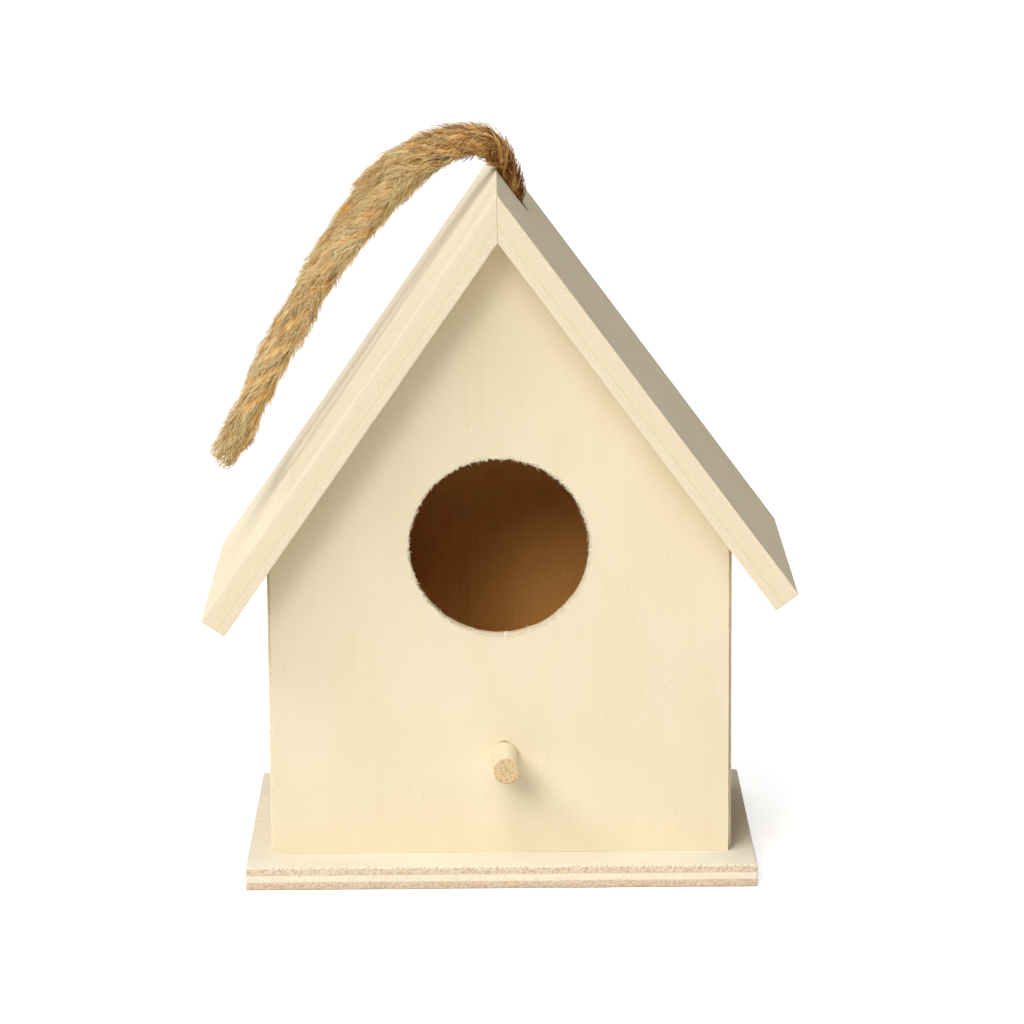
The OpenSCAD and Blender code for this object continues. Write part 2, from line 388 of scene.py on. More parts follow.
def new_material(name):
    material = bpy.data.materials.new(name)
    material.use_nodes = True
    tree = material.node_tree
    shader = tree.nodes["Principled BSDF"]
    return material, tree, shader


def from_group(tree, group, wires):
    return put(tree, "ShaderNodeGroup", wires, node_tree=group).outputs


def attribute(tree, name, output):
    return put(tree, "ShaderNodeAttribute", attribute_name=name).outputs[output]


def bump_from(tree, shader, height, distance, strength=1.0):
    bump = put(tree, "ShaderNodeBump", {"Height": height, "Distance": distance * MM, "Strength": strength})
    tree.links.new(bump.outputs[0], shader.inputs["Normal"])


def veneer(name, colour, streak_colour, cloud_colour, pore_colour, streak=0.35, cloud=0.4, pore=0.3, mark=0.15,
           mark_colour=srgb(205, 198, 182), rough=0.72, bump=0.05):
    """A flat face of raw plywood."""
    material, tree, shader = new_material(name)
    place = attribute(tree, "board_pos", "Vector")
    grain = from_group(tree, VENEER_GRAIN, {"Position": place})
    marks = from_group(tree, HANDLING_MARKS, {"Position": place})
    shade = blend_colour(tree, calc(tree, "MULTIPLY", remap(tree, grain["Streaks"], 0.42, 0.62), streak),
                         colour, streak_colour)
    shade = blend_colour(tree, calc(tree, "MULTIPLY", remap(tree, grain["Clouds"], 0.4, 0.65), cloud),
                         shade, cloud_colour)
    shade = blend_colour(tree, calc(tree, "MULTIPLY", grain["Pores"], pore), shade, pore_colour)
    shade = blend_colour(tree, calc(tree, "MULTIPLY", marks["Smudge"], mark), shade, mark_colour)
    shade = blend_colour(tree, calc(tree, "MULTIPLY", marks["Specks"], 0.5), shade, pore_colour)
    tree.links.new(shade, shader.inputs["Base Color"])
    tree.links.new(remap(tree, grain["Streaks"], 0.3, 0.7, rough - 0.08, rough + 0.08), shader.inputs["Roughness"])
    shader.inputs["Specular IOR Level"].default_value = 0.25
    bump_from(tree, shader, grain["Height"], bump)
    return material


def cut_edge(name, thickness, stops, pore_colour, light_colour, waviness=0.25, layers=3.0, pore=0.5, dashes=0.35,
             hatch=0.3, bump=0.12):
    """A sawn edge of plywood, with its layers seen from the side."""
    material, tree, shader = new_material(name)
    place = attribute(tree, "board_pos", "Vector")
    ply = from_group(tree, PLY_LAYERS, {"Position": place, "Thickness": thickness, "Waviness": waviness,
                                        "Layers": layers})
    shade = colour_steps(tree, ply["Depth"], stops)
    shade = blend_colour(tree, calc(tree, "MULTIPLY", remap(tree, ply["Along"], 0.45, 0.7), dashes),
                         shade, light_colour)
    pores = calc(tree, "MULTIPLY", ply["Pores"], calc(tree, "ADD", calc(
        tree, "MULTIPLY", ply["Cross layer"], pore * 0.7), pore * 0.3))
    shade = blend_colour(tree, pores, shade, pore_colour)
    strokes = calc(tree, "MULTIPLY", calc(tree, "MULTIPLY", remap(tree, ply["Hatch"], 0.47, 0.62), hatch),
                   calc(tree, "ADD", calc(tree, "MULTIPLY", ply["Cross layer"], 0.8), 0.2))
    shade = blend_colour(tree, strokes, shade, pore_colour)
    tree.links.new(shade, shader.inputs["Base Color"])
    tree.links.new(remap(tree, ply["Along"], 0.3, 0.7, 0.76, 0.92), shader.inputs["Roughness"])
    shader.inputs["Specular IOR Level"].default_value = 0.15
    bump_from(tree, shader, ply["Height"], bump)
    return material


cream, tan = srgb(238, 224, 192), srgb(214, 184, 146)
panel_veneer = veneer("panel_veneer", srgb(235, 221, 189), srgb(229, 212, 177), srgb(239, 227, 197),
                      srgb(212, 188, 148), streak=0.34, cloud=0.55, pore=0.2, mark=0.0, bump=0.03)
roof_veneer = veneer("roof_veneer", srgb(242, 228, 195), srgb(233, 215, 178), srgb(247, 235, 206),
                     srgb(214, 194, 156), streak=0.5, cloud=0.4, pore=0.3, mark=0.2)
base_veneer = veneer("base_veneer", srgb(238, 230, 210), srgb(229, 215, 190), srgb(244, 238, 221),
                     srgb(212, 190, 154), streak=0.5, cloud=0.4, pore=0.35, mark=0.2)
# Inner faces of the box: a deep orange copy of the veneer, standing in for the warm bounced shade inside the box
# (painted shade).
inside_shade_veneer = veneer("inside_shade_veneer", srgb(232, 166, 84), srgb(220, 149, 70), srgb(237, 175, 94),
                       srgb(190, 118, 50), streak=0.6, cloud=0.5, pore=0.4, mark=0.0)
# Side walls: a browner copy of the veneer, darkened for the shaded sides and for the warm bounce onto the base beside
# them (painted shade).
shaded_wall_veneer = veneer("shaded_wall_veneer", srgb(218, 186, 138), srgb(204, 168, 118), srgb(224, 194, 148),
                     srgb(178, 138, 92), streak=0.6, cloud=0.4, pore=0.4, mark=0.1)
# The base edge's top strip, down to 0.09 of the depth, is painted lighter as a painted highlight along the top face's
# eased edge; the bands below are the plies.
base_edge = cut_edge("base_edge", base_t, [
    (0.0, srgb(253, 246, 226)), (0.05, srgb(250, 240, 216)), (0.09, srgb(241, 221, 192)),
    (0.34, srgb(236, 214, 183)), (0.38, srgb(252, 240, 216)), (0.62, srgb(250, 236, 210)),
    (0.66, srgb(232, 210, 180)), (0.94, srgb(224, 202, 172)), (1.0, srgb(196, 170, 138))],
    srgb(186, 148, 108), srgb(255, 248, 228), waviness=0.2, layers=3.0, pore=0.6, dashes=0.4, hatch=0.55)
roof_edge = cut_edge("roof_edge", roof_t, [
    (0.0, srgb(244, 228, 196)), (0.30, srgb(242, 225, 192)), (0.61, srgb(242, 225, 192)),
    (0.65, srgb(234, 214, 178)), (0.69, srgb(242, 226, 193)), (1.0, srgb(244, 228, 197))],
    srgb(208, 178, 136), srgb(249, 238, 212), waviness=0.3, layers=1.0, pore=0.35, dashes=0.25, hatch=0.1,
    bump=0.09)
panel_edge = cut_edge("panel_edge", panel_t, [
    (0.0, srgb(255, 244, 216)), (0.1, srgb(253, 238, 204)), (0.3, srgb(248, 230, 192)), (0.35, srgb(240, 216, 176)),
    (0.65, srgb(242, 220, 180)), (0.7, srgb(250, 232, 196)), (1.0, srgb(246, 226, 188))],
    srgb(206, 172, 128), srgb(254, 246, 222), waviness=0.25, layers=3.0, pore=0.6, dashes=0.45)


# ---------------------------------------------------------------- plywood boards
def trace_outline(corners, radius, step):
    """Points round a convex outline with its corners a little rounded, and their outward normals."""
    corners = [Vector(c) for c in corners]
    count = len(corners)
    points, normals, legs = [], [], []
    for i in range(count):
        here, before, after = corners[i], corners[i - 1], corners[(i + 1) % count]
        a, b = (here - before).normalized(), (after - here).normalized()
        trim = radius * math.tan(a.angle(b) / 2)
        legs.append((here - a * trim, here + b * trim, a, b))
    for i in range(count):
        start, end, a, b = legs[i]
        na, nb = Vector((a.y, -a.x)), Vector((b.y, -b.x))
        centre = start - na * radius
        for k in range(5):
            n = na.lerp(nb, k / 4).normalized()
            points.append(centre + n * radius)
            normals.append(n)
        stop = legs[(i + 1) % count][0]
        pieces = max(2, int((stop - end).length / step))
        for k in range(1, pieces):
            points.append(end.lerp(stop, k / pieces))
            normals.append(nb)
    return np.array(points), np.array(normals)


def trace_hole(centre, radii, count):
    """Points round a hole and the normals that point out of the wood, into the hole."""
    turn = np.linspace(0, 2 * math.pi, count, endpoint=False)
    ring = np.stack([np.cos(turn), np.sin(turn)], axis=1)
    radii = np.array(radii, float)
    inward = -ring / radii
    return np.array(centre) + ring * radii, inward / np.linalg.norm(inward, axis=1)[:, None]


def through_levels(thickness, ease, step=0.55):
    """Depths through a board with the ease share at each: a small round, straight, a small round."""
    turn = [0, 30, 60, 90]
    top = [(ease * (1 - math.cos(math.radians(a))), 1 - math.sin(math.radians(a))) for a in turn]
    middle = [(d, 0) for d in np.linspace(ease, thickness - ease, int(thickness / step) + 1)[1:-1]]
    return top + middle + [(thickness - d, e) for d, e in reversed(top)]


def plywood_board(name, outline, holes, thickness, place, axes, materials, grain="u", ease=0.3, rough=0.07,
                  shape=None, seed=0, snug=None):
    """A plywood sheet. outline and holes are in u and v, depth runs from the outer face inwards.
    holes holds (points, normals, rough, shape) and shape(points, depth) moves a ring at a depth.
    snug(u, v) is the share of the wear left where a board is glued tight to its neighbour."""
    levels = through_levels(thickness, ease)
    rings = [(outline[0], outline[1], rough, shape)] + list(holes)
    origin, (u, v, w) = np.array(place, float), (np.array(a, float) for a in axes)
    local, faces, slots, smooth, starts = [], [], [], [], []
    total = 0
    for points, normals, uneven, move in rings:
        count = len(points)
        starts.append((total, count))
        for depth, eased in levels:
            ring = np.array(points)
            if move is not None:
                ring = move(ring, depth)
            shift = np.empty(count)
            for i, (a, b) in enumerate(points):
                wide = noise.noise(Vector((a * 0.11, b * 0.11, seed + depth * 0.1)))
                tight = noise.noise(Vector((a * 1.3, b * 1.3, seed * 3 + depth * 1.1)))
                shift[i] = eased * ease * (1 + 0.9 * wide + 0.7 * tight) + uneven * (0.5 + 0.5 * tight + 0.5 * wide)
                if snug is not None:
                    shift[i] *= snug(a, b)
            ring = ring - normals * np.maximum(shift, 0)[:, None]
            local.append(np.column_stack([ring, np.full(count, depth)]))
        for k in range(len(levels) - 1):
            base = total + k * count
            for i in range(count):
                j = (i + 1) % count
                faces.append((base + i, base + j, base + count + j, base + count + i))
                slots.append(1)
                smooth.append(True)
        total += count * len(levels)
    local = np.vstack(local)
    for level, slot in ((0, 0), (len(levels) - 1, 2)):
        index = [s + level * c + i for s, c in starts for i in range(c)]
        polys = [[Vector((*local[s + level * c + i, :2], 0)) for i in range(c)] for s, c in starts]
        for tri in tessellate_polygon(polys):
            faces.append(tuple(index[i] for i in tri))
            slots.append(slot)
            smooth.append(False)
    world = origin + local[:, :1] * u + local[:, 1:2] * v + local[:, 2:] * w
    order = [0, 1, 2] if grain == "u" else [1, 0, 2]
    board_pos = local[:, order] + np.array([seed * 137.3, seed * 71.9, 0])
    made = make_object(name, world, faces, materials, slots, smooth, {"board_pos": board_pos})
    turn_faces_out(made)
    return made


def rectangle(u0, u1, v0, v1, step=0.8, radius=0.3):
    return trace_outline([(u0, v0), (u1, v0), (u1, v1), (u0, v1)], radius, step)


def pin_hole(spot):
    """A pin's hole up through the base, wider for the head at the underside."""
    points, normals = trace_hole(spot, (pin_hole_r, pin_hole_r), 20)

    def widen(ring, depth):
        wide = head_hole_r if depth > base_t - head_hole_depth else pin_hole_r
        return np.array(spot) + (ring - np.array(spot)) * wide / pin_hole_r
    return points, normals, 0.02, widen


def make_base():
    pin_y = panel_t / 2 + front_lo[1]
    wall_x = (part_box("right_wall")[0].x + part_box("right_wall")[1].x) / 2 / MM
    spots = [(-pin_spread, pin_y), (pin_spread, pin_y), (-pin_spread, -pin_y), (pin_spread, -pin_y),
             (-wall_x, 0), (wall_x, 0)]
    outline = rectangle(base_lo[0], base_hi[0], base_lo[1], base_hi[1], 0.6)
    made = plywood_board("base_plywood", outline, [pin_hole(s) for s in spots], base_t,
                         (0, 0, base_hi[2]), ((1, 0, 0), (0, 1, 0), (0, 0, -1)),
                         [base_veneer, base_edge, base_veneer], rough=0.1, ease=0.3, seed=1)
    seat(made, "plywood", "base_board")


def panel_corners():
    left = under_z(left_pitch) - math.tan(left_pitch) * half_panel
    right = under_z(right_pitch) - math.tan(right_pitch) * half_panel
    foot = front_lo[2]
    return [(-half_panel, foot), (half_panel, foot), (half_panel, right), (inner_x, inner_z), (-half_panel, left)]


def ragged_entry():
    """The entry hole, bored roughly: its front rim is torn, most of all at the top right."""
    points, normals = trace_hole((0, entry_z), (entry_r, entry_r), 420)

    def tear(ring, depth):
        centre = np.array([0, entry_z])
        out = ring - centre
        turn = np.arctan2(out[:, 1], out[:, 0])
        near = max(0.0, 1 - depth / 1.6)
        lip = 0.24 * max(0.0, 1 - depth / 0.45) ** 2
        bite = np.array([0.16 * noise.noise(Vector((t * 9, 3.1, depth * 0.6)))
                         + near * 0.34 * max(0, noise.noise(Vector((t * 38, 7.7, depth * 0.8)))) for t in turn])
        torn = near * 0.28 * np.clip(np.cos(turn - 1.1), 0, 1) * np.array(
            [max(0, noise.noise(Vector((t * 21, 1.3, 0)))) for t in turn])
        tooth = 1.1 * near * np.exp(-((turn + 1.5) / 0.018) ** 2)
        wide = 0.34 * np.cos(turn) ** 2 + 0.3 * np.clip(-np.sin(turn), 0, 1) ** 2
        return centre + out * (1 + (lip + bite + torn + wide - tooth)[:, None] / entry_r)
    return points, normals, 0.05, tear


def make_panels():
    outline = trace_outline(panel_corners(), 0.15, 0.8)
    perch_mid = np.array([(perch_lo[0] + perch_hi[0]) / 2, (perch_lo[2] + perch_hi[2]) / 2])

    def chipped_bore(ring, depth):
        out = ring - perch_mid
        turn = np.arctan2(out[:, 1], out[:, 0])
        chip = 0.28 * max(0.0, 1 - depth / 1.2) * np.exp(-((turn - 1.62) / 0.3) ** 2)
        return perch_mid + out * (1 + chip[:, None] / perch_r)

    perch_r = (perch_hi[2] - perch_lo[2]) / 2
    perch_bore = (*trace_hole(perch_mid, (perch_r, perch_r), 64), 0.0, chipped_bore)

    def glued(u, v):
        if v < front_lo[2] + 0.4:
            return 0.25
        return 0.3 if math.hypot(u - perch_mid[0], v - perch_mid[1]) < perch_r + 0.5 else 1.0
    front = plywood_board("front_plywood", outline, [ragged_entry(), perch_bore], panel_t, (0, front_lo[1], 0),
                          ((1, 0, 0), (0, 0, 1), (0, 1, 0)), [panel_veneer, panel_edge, inside_shade_veneer],
                          grain="v", seed=2, ease=0.13, snug=glued)
    seat(front, "plywood", "front_panel")
    back = plywood_board("back_plywood", outline, [], panel_t, (0, back_face_y, 0),
                         ((1, 0, 0), (0, 0, 1), (0, -1, 0)), [panel_veneer, panel_edge, inside_shade_veneer],
                         grain="v", seed=3, ease=0.13, snug=glued)
    seat(back, "plywood", "back_panel")


def make_walls():
    for node, side, seed in (("left_wall", -1, 4), ("right_wall", 1, 5)):
        lo, hi = box_mm(node)
        outline = rectangle(lo[1], hi[1], lo[2], hi[2], 0.9)
        outer = lo[0] if side < 0 else hi[0]
        wall = plywood_board(node.replace("wall", "wall_plywood"), outline, [], hi[0] - lo[0], (outer, 0, 0),
                             ((0, 1, 0), (0, 0, 1), (-side, 0, 0)), [shaded_wall_veneer, panel_edge, inside_shade_veneer],
                             grain="v", seed=seed, ease=0.25)
        seat(wall, "wall_plywood", node)


def make_roof():
    """Two boards meeting in a mitre; u runs down the slope from the ridge."""
    for node, side, pitch, seed in (("left_roof_board", -1, left_pitch, 6), ("right_roof_board", 1, right_pitch, 7)):
        length = eave_reach / math.cos(pitch)
        down = np.array([side * math.cos(pitch), 0, -math.sin(pitch)])
        into = np.array([-side * math.sin(pitch), 0, -math.cos(pitch)])
        mitre = (np.array([inner_x, 0, inner_z]) - np.array([0, 0, ridge])) @ down

        def slant(ring, depth, length=length, mitre=mitre):
            lean = mitre * depth / roof_t
            return np.column_stack([ring[:, 0] * (1 - lean / length) + lean, ring[:, 1]])
        holes = []
        if side > 0:
            def upright(ring, depth):
                return ring + np.array([math.tan(pitch) * depth, 0])
            long_r = rope_hole_d / 2 / math.cos(pitch)
            bore = trace_hole((rope_x / math.cos(pitch), rope_y), (long_r, rope_hole_d / 2), 64)
            holes.append((*bore, 0.08, upright))
        outline = rectangle(0, length, -roof_half, roof_half, 0.7, 0.25)
        board = plywood_board(node.replace("board", "plywood"), outline, holes, roof_t, (0, 0, ridge),
                              (down, (0, 1, 0), into), [roof_veneer, roof_edge, roof_veneer],
                              shape=slant, seed=seed, ease=0.22, rough=0.07,
                              snug=lambda u, v: 0.0 if u < 0.3 else 1.0)
        seat(board, "roof_plywood", node)


make_base()
make_panels()
make_walls()
make_roof()


# ---------------------------------------------------------------- perch
def dowel_material(name, colour, dark, end_grain):
    material, tree, shader = new_material(name)
    place = attribute(tree, "board_pos", "Vector")
    grain = from_group(tree, VENEER_GRAIN, {"Position": place})
    if end_grain:
        pores = remap(tree, stretched_noise(tree, place, (0.4, 1.9, 1.9), 2, 0.6), 0.48, 0.64)
        rays = remap(tree, stretched_noise(tree, place, (0.2, 0.7, 4.5), 2), 0.5, 0.65)
        shade = blend_colour(tree, calc(tree, "MULTIPLY", pores, 0.65), colour, dark)
        shade = blend_colour(tree, calc(tree, "MULTIPLY", rays, 0.25), shade, cream)
        height = calc(tree, "SUBTRACT", 1.0, pores)
    else:
        shade = blend_colour(tree, calc(tree, "MULTIPLY", remap(tree, grain["Streaks"], 0.4, 0.62), 0.5), colour, dark)
        shade = blend_colour(tree, calc(tree, "MULTIPLY", grain["Pores"], 0.3), shade, tan)
        height = grain["Height"]
    tree.links.new(shade, shader.inputs["Base Color"])
    tree.links.new(remap(tree, grain["Clouds"], 0.3, 0.7, 0.6, 0.8), shader.inputs["Roughness"])
    shader.inputs["Specular IOR Level"].default_value = 0.25
    bump_from(tree, shader, height, 0.08)
    return material


def make_perch():
    """A short cut dowel, a little out of round, its outer end barely eased."""
    r = (perch_hi[2] - perch_lo[2]) / 2
    mid = np.array([(perch_lo[0] + perch_hi[0]) / 2, 0, (perch_lo[2] + perch_hi[2]) / 2])
    root, tip = perch_hi[1], perch_lo[1]
    sides = 56
    runs = [(y, r) for y in np.linspace(root, tip + 0.7, 18)]
    runs += [(tip + 0.22, r - 0.01), (tip + 0.16, r - 0.04)]
    cap = [(tip + 0.08, r - 0.1), (tip + 0.02, r - 0.2)]
    cap += [(tip, k * (r - 0.3)) for k in (1, 0.8, 0.6, 0.4, 0.2)]
    verts, place = [], []
    for y, radius in runs + cap:
        lean = 0.45 * (root - y) / (root - tip) - 0.1
        for k in range(sides):
            a = 2 * math.pi * k / sides
            worn = min(1.0, (front_lo[1] - y) / 3) if y < front_lo[1] else 0.0
            uneven = 1 - worn * (0.0125 + 0.0125 * math.sin(2 * a + 0.6) + 0.012 * abs(noise.noise(
                Vector((math.cos(a) * 2, y * 0.12, math.sin(a) * 2)))))
            x, z = radius * uneven * math.cos(a), radius * uneven * math.sin(a)
            grainy = 0.03 * noise.noise(Vector((x * 3, z * 3, 5.0))) if radius < r - 0.25 else 0
            verts.append((mid[0] + x + lean, y - grainy, mid[2] + z))
            place.append((y, x + 40, z + 9))
    rows = len(runs) + len(cap)
    faces, slots = [], []
    for row in range(rows - 1):
        for k in range(sides):
            m = (k + 1) % sides
            faces.append((row * sides + k, row * sides + m, (row + 1) * sides + m, (row + 1) * sides + k))
            slots.append(1 if row >= len(runs) - 1 else 0)
    faces += [tuple(range(sides)), tuple(range((rows - 1) * sides, rows * sides))]
    slots += [1, 1]
    materials = [dowel_material("perch_side", srgb(241, 229, 200), srgb(224, 202, 160), False),
                 dowel_material("perch_end", srgb(226, 196, 150), srgb(178, 136, 92), True)]
    perch = make_object("perch_stick", verts, faces, materials, slots, True, {"board_pos": place})
    turn_faces_out(perch)
    seat(perch, "dowel", "perch_dowel")


make_perch()


# ---------------------------------------------------------------- torn fibres round the entry hole
def torn_wood_material():
    material, tree, shader = new_material("torn_wood")
    shade = blend_colour(tree, attribute(tree, "fibre_tone", "Fac"), srgb(250, 234, 200), srgb(255, 250, 228))
    tree.links.new(shade, shader.inputs["Base Color"])
    tree.links.new(remap(tree, attribute(tree, "fibre_share", "Fac"), 0, 1, 0.7, 0.9), shader.inputs["Roughness"])
    shader.inputs["Specular IOR Level"].default_value = 0.1
    return material


torn_wood = torn_wood_material()


def make_entry_splinters():
    rng = np.random.default_rng(11)
    count = 1400
    turn = np.concatenate([rng.uniform(0, 2 * math.pi, 240), rng.normal(1.4, 0.7, 360),
                           rng.uniform(0, 2 * math.pi, 800)])
    length = rng.uniform(0.35, 1.1, count) * np.where(rng.random(count) < 0.12, 1.8, 1.0)
    round_rim = np.arange(count) >= 600
    lean = np.where(round_rim, rng.choice([-1.57, 1.57], count) + rng.normal(0, 0.5, count),
                    rng.normal(0, 0.9, count))
    k = np.linspace(0, 1, 4)[None, :]
    r = entry_r + rng.uniform(0.25, 0.62, (count, 1)) - length[:, None] * k * np.cos(lean)[:, None] * 0.75
    sweep = turn[:, None] + length[:, None] * k * np.sin(lean)[:, None] / entry_r
    r = r + np.where(round_rim, 0.12, 0)[:, None]
    y = front_lo[1] - 0.02 - np.where(round_rim, 0.05, rng.uniform(-0.3, 0.28, count))[:, None] * k ** 1.5
    lines = np.stack([r * np.cos(sweep), np.broadcast_to(y, r.shape), entry_z + r * np.sin(sweep)], axis=-1)
    lines += rng.normal(0, 0.035, lines.shape) * k[..., None]
    splinters = fibre_strands("entry_splinters", lines, rng.uniform(0.045, 0.12, count), rng.random(count),
                              [torn_wood], tip=0.2)
    seat(splinters, "plywood")


make_entry_splinters()


# ---------------------------------------------------------------- jute rope
def jute_material(name, tone_from, lift=0.0):
    material, tree, shader = new_material(name)
    tone = attribute(tree, tone_from, "Fac")
    place = put(tree, "ShaderNodeTexCoord").outputs["Object"]
    patch = stretched_noise(tree, place, (380, 380, 380), 3, 0.6)
    mixed = calc(tree, "ADD", calc(tree, "ADD", tone, lift), calc(tree, "MULTIPLY", calc(
        tree, "SUBTRACT", patch, 0.5), 0.35), clamp=True)
    tree.links.new(from_group(tree, JUTE_TONES, {"Tone": mixed})["Colour"], shader.inputs["Base Color"])
    tree.links.new(remap(tree, patch, 0.3, 0.7, 0.5, 0.7), shader.inputs["Roughness"])
    shader.inputs["Specular IOR Level"].default_value = 0.15
    fine = stretched_noise(tree, place, (5200, 5200, 5200), 2)
    bump_from(tree, shader, fine, 0.08, 0.6)
    return material


# The core's colour comes from painted shade in the grooves, set per point in rope_tube.
jute_core = jute_material("jute_core", "strand_shade_tone")
jute_fibre = jute_material("jute_fibre", "fibre_tone", 0.02)

strand_lay = 21.0


def strand_surface(turn, s, radius):
    """Distance out to the surface of three twisted strands, and how deep it lies in a groove."""
    offset, thick, groove = 0.5359, 0.4641, 0.7
    best = np.zeros(np.broadcast(turn, s).shape)
    for k in range(3):
        a = turn - 2 * math.pi * (k / 3 + s / strand_lay)
        reach = np.maximum(thick ** 2 - (offset * np.sin(a)) ** 2, 0)
        best = np.maximum(best, np.where(np.cos(a) > 0, offset * np.cos(a) + np.sqrt(reach), 0))
    best = np.maximum(best, groove)
    yarn = 0.02 * np.sin(turn * 14 + s * 1.9)
    return radius * (best + yarn), (best - groove) / (1 - groove)


def rope_tube(name, run, sides, material):
    turn = np.linspace(0, 2 * math.pi, sides, endpoint=False)[None, :]
    s = run["s"][:, None]
    out, high = strand_surface(turn, s, run["r"][:, None])
    verts = on_run(run, np.broadcast_to(s, out.shape), np.broadcast_to(turn, out.shape), out).reshape(-1, 3)
    rows = len(run["s"])
    a = (np.arange(rows - 1)[:, None] * sides + np.arange(sides)[None, :])
    b = (np.arange(rows - 1)[:, None] * sides + (np.arange(sides)[None, :] + 1) % sides)
    quads = np.stack([a, b, b + sides, a + sides], -1).reshape(-1, 4).tolist()
    ends = [list(reversed(range(sides))), list(range((rows - 1) * sides, rows * sides))]
    # The core's tone is painted shade: dark all over and darkest down in the grooves between the strands, so that the
    # gaps between the fibres read as shade.
    made = make_object(name, verts, [tuple(f) for f in quads + ends], [material],
                       attributes={"strand_shade_tone": (0.03 + 0.36 * high).ravel()})
    turn_faces_out(made)
    return made


def combed_run(side):
    """One leg's line, going straight on past the loop's turn, so that fibres there point outwards."""
    route = leg_route(side)[:-3]
    radii = leg_radii[:-3]
    ahead = np.array(route[-1]) - np.array(route[-2])
    ahead /= np.linalg.norm(ahead)
    ahead[1] *= 0.1
    for k in range(1, 5):
        pull = np.array([0, -side * 0.55 * k ** 1.3, 0])
        route.append(tuple(np.array(route[-1]) + ahead * 4 + pull))
        radii = radii + [2.5]
    return smooth_run(route, radii, 0.4)


def combed_fibres(name, side, count, seed, start, stop, tip_s):
    """Loose fibres of one leg, lying along it towards the far end and standing off a little."""
    rng = np.random.default_rng(seed)
    run = combed_run(side)
    points = 7
    tufts = count // 9
    tuft_s, tuft_turn = rng.uniform(start, stop, tufts), rng.uniform(0, 2 * math.pi, tufts)
    near_ridge = np.exp(-np.clip(tuft_s - 16, 0, None) / 9)
    tuft_lean = rng.gamma(3, 0.05, tufts)
    tuft_swirl = rng.normal(0.25, 0.6 + 0.8 * near_ridge, tufts)
    tuft_tone = rng.normal(0.56, 0.12, tufts)
    tuft_up = rng.random(tufts) < 0.3
    which = rng.integers(0, tufts, count)
    s0 = tuft_s[which] + rng.normal(0, 1.1, count)
    turn0 = tuft_turn[which] + rng.normal(0, 0.26, count)
    length = rng.uniform(3.6, 8.5, count) * (1 - 0.35 * near_ridge[which])
    lean = np.clip(tuft_lean[which] + rng.normal(0, 0.05, count), 0.0, 0.6)
    up = tuft_up[which]
    loose = ~up & (rng.random(count) < 0.22 + 0.4 * near_ridge[which])
    lean = np.where(up, rng.uniform(0.4, 0.75, count), lean)
    length = np.where(up, rng.uniform(2.6, 5.0, count), length)
    length = np.minimum(length, np.maximum(tip_s + rng.uniform(-0.6, 0.9, count) - s0, 1.5))
    swirl = tuft_swirl[which] + rng.normal(0, 0.15, count) + np.where(loose, rng.normal(0, 1.5, count), 0)
    base_r = np.interp(s0, run["s"], run["r"])
    root_out, high = strand_surface(turn0, s0, base_r)
    share = np.linspace(0, 1, points)[None, :]
    s = s0[:, None] + (length * np.cos(lean))[:, None] * share
    most = np.interp(s0, [14, 18, 24, 34], [0.5, 1.1, 1.2, 1.05]) * np.where(up, 2.3, 1.0)
    rise = np.clip((length * np.sin(lean))[:, None] * share ** 1.25, 0, None)
    rise = most[:, None] * np.tanh(rise / most[:, None])
    layer = rng.uniform(-0.22, 0.3, count)
    out = root_out[:, None] * (0.95 + 0.05 * share) + rise + layer[:, None] * np.sin(math.pi * share)
    wave, phase = rng.uniform(0.4, 1.4, (count, 1)), rng.uniform(0, 6.3, (2, count, 1))
    curl = share * (rng.uniform(0.05, 0.25, (count, 1)) + np.where(loose, 0.4, 0)[:, None])
    gather = (tuft_turn[which] - turn0)[:, None] * 0.85 * share ** 1.5
    turn = turn0[:, None] + gather + swirl[:, None] * share + 0.35 * curl * np.sin(7 * wave * share + phase[0])
    out = np.maximum(out + 0.6 * curl * np.sin(7 * wave * share + phase[1]), 0.8 * base_r[:, None])
    lines = on_run(run, s, turn, out)
    tone = tuft_tone[which] + rng.choice([-0.48, 0.0, 0.38], count, p=[0.2, 0.36, 0.44])
    # Painted shade: fibres rooted in the grooves between strands and lying deeper are darker, those on the crowns and
    # further out lighter; loose ones are a little lighter.
    tone = tone + rng.normal(0, 0.08, count) + 0.25 * (high - 0.6) + 0.5 * layer + np.where(loose, 0.1, 0)
    # Painted shade: fibres near where the rope leaves its hole at the ridge are made much darker.
    tone = tone - 0.85 * np.exp(-np.clip(s0 - 21, 0, None) / 11)
    # Painted light: fibres along the loop's upper run, where it takes the light, are made lighter; those at the far
    # end are made a little darker.
    tone = tone + np.interp(s0, [35, 48, 68, 84, 106, 116, 124], [0, 0.13, 0.13, 0.04, 0.08, 0.04, -0.18])
    thick = rng.uniform(0.045, 0.095, count)
    return fibre_strands(name, lines, thick, np.clip(tone, 0.02, 1.0), [jute_fibre], tip=0.3)


